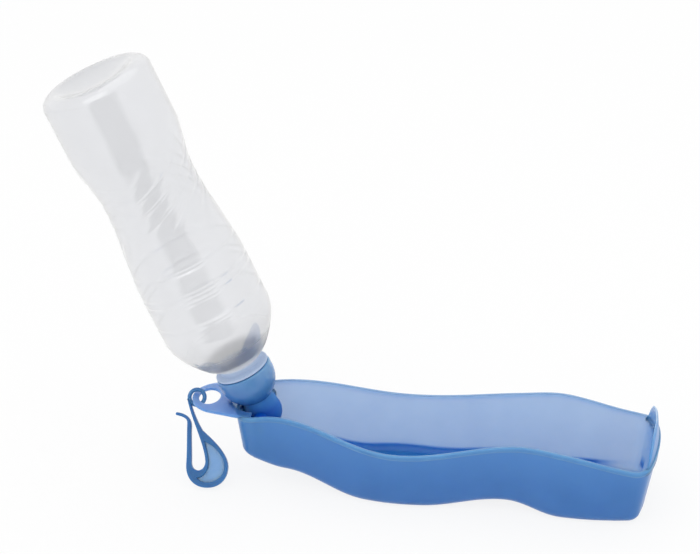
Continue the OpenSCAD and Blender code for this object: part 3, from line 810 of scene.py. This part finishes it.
dress(build_trough([mat_outer, mat_inner, mat_rim]), "trough", "trough_plastic", "trough")
dress(build_tab([mat_tab]), "trough", "trough_plastic")
dress(build_tongue([mat_tongue]), "trough", "trough_plastic")
dress(build_bay_web([mat_tab]), "trough", "trough_plastic")
for ob in build_bosses([mat_inner]):
    dress(ob, "trough", "trough_plastic")
dress(build_bottle([mat_bottle]), "bottle", "clear_plastic", "bottle")
dress(build_cap([mat_cap]), "cap", "cap_plastic", "screw_cap")
dress(build_spout([mat_spout]), "cap", "spout_plastic", "spout")
for ob in build_trunnions([mat_spout]):
    dress(ob, "cap", "spout_plastic")
hook_parts = build_hook(mat_hook, mat_web)
dress(hook_parts[0], "hook", "hook_plastic", "belt_hook")
for ob in hook_parts[1:]:
    dress(ob, "hook", "hook_plastic")
for node, mat in (("valve_seat", mat_soft), ("neck_washer", mat_soft), ("spout_o_ring", mat_ring)):
    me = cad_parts[node].data
    me.materials.clear()
    me.materials.append(mat)


# ---------------------------------------------------------------- stage and light
AMBIENT, TABLE_GLOW, TABLE_WHITE, TABLE_HALF = 0.95, 0.85, 0.93, 6.0
DARK_LEVEL = 0.03
DARK_LEFT, DARK_RIGHT = (-13, 1), (58, 40)    # where the dark side begins and is full, in degrees
DARK_SKY, DARK_TABLE = (0.5, 0.3), (-0.2, -0.32)
BOTTLE_X, LAMP_AIM = -0.13, Vector((0, 0, 0.05))


def seen_white(t):
    """(seen, mirrored): seen is 1 for rays from the camera, from gloss and through clear plastic, and 0 for
    diffuse light; mirrored is 1 for gloss alone."""
    rays = t.add("ShaderNodeLightPath").outputs
    either = t.math("MAXIMUM", rays["Is Camera Ray"], rays["Is Transmission Ray"])
    not_through = t.math("SUBTRACT", 1.0, rays["Is Transmission Ray"])
    mirrored = t.math("MULTIPLY", rays["Is Glossy Ray"], not_through)
    return t.math("MAXIMUM", either, rays["Is Glossy Ray"]), mirrored


def dark_side(t, vector, axis, lit, dark):
    """1 towards the studio's dark front right, from where the vector's axis passes from lit to dark."""
    turn = t.math("ARCTAN2", t.axis("X", vector), t.math("MULTIPLY", t.axis("Y", vector), -1.0))
    left, right = (t.span(turn, *map(math.radians, edge)) for edge in (DARK_LEFT, DARK_RIGHT))
    return t.math("MULTIPLY", t.math("MULTIPLY", left, right), t.span(t.axis(axis, vector), lit, dark))


def make_world():
    """White all round, a little dimmer for diffuse light, and dark on one side for mirrored rays."""
    world = bpy.data.worlds.new("studio")
    t = Tree(world, "ShaderNodeOutputWorld")
    ambient, backdrop = t.add("ShaderNodeBackground"), t.add("ShaderNodeBackground")
    for sky in (ambient, backdrop):
        sky.inputs["Color"].default_value = (1, 1, 1, 1)
    ambient.inputs["Strength"].default_value = AMBIENT
    seen, mirrored = seen_white(t)
    way = t.add("ShaderNodeTexCoord").outputs["Generated"]
    dark = t.math("MULTIPLY", mirrored, dark_side(t, way, "Z", *DARK_SKY))
    t.link(t.span(dark, 0, 1, 1.0, DARK_LEVEL, "LINEAR"), backdrop.inputs["Strength"])
    t.link(t.mix_shaders(seen, ambient.outputs[0], backdrop.outputs[0]), t.out.inputs[0])
    bpy.context.scene.world = world


def make_floor():
    """White table: it takes the object's shadow, and it is seen nearly at full white."""
    t = Tree(bpy.data.materials.new("studio_floor"))
    table = t.add("ShaderNodeBsdfDiffuse")
    table.inputs[0].default_value = (TABLE_WHITE, TABLE_WHITE, TABLE_WHITE, 1)
    glow = t.add("ShaderNodeEmission")
    glow.inputs["Color"].default_value = (1, 1, 1, 1)
    seen, mirrored = seen_white(t)
    from_bottle = t.add("ShaderNodeVectorMath", operation="ADD")
    t.link(t.coords(), from_bottle.inputs[0])
    from_bottle.inputs[1].default_value = (-BOTTLE_X, 0, 0)
    dark = t.math("MULTIPLY", mirrored, dark_side(t, from_bottle.outputs[0], "Y", *DARK_TABLE))
    t.link(t.span(dark, 0, 1, 1.0, DARK_LEVEL, "LINEAR"), glow.inputs["Strength"])
    share = t.math("MAXIMUM", t.math("MULTIPLY", seen, TABLE_GLOW), dark)
    t.link(t.mix_shaders(share, table.outputs[0], glow.outputs[0]), t.out.inputs[0])
    s = TABLE_HALF
    ob = make_mesh("floor", [(-s, -s, 0), (s, -s, 0), (s, s, 0), (-s, s, 0)], [(0, 1, 2, 3)], [t.owner])


def area(name, at, size, power):
    """Round lamp at a place, turned to the trough."""
    d = bpy.data.lights.new(name, "AREA")
    d.shape, d.size, d.energy = "DISK", size, power
    ob = bpy.data.objects.new(name, d)
    ob.location = at
    ob.rotation_euler = (LAMP_AIM - Vector(at)).to_track_quat("-Z", "Y").to_euler()
    bpy.context.scene.collection.objects.link(ob)


make_world()
make_floor()
area("top", (0.1, 0.1, 1.4), size=1.7, power=2.0)
area("front", (-0.35, -1.0, 1.05), size=1.1, power=1.8)

bpy.context.scene.view_settings.view_transform = "Standard"
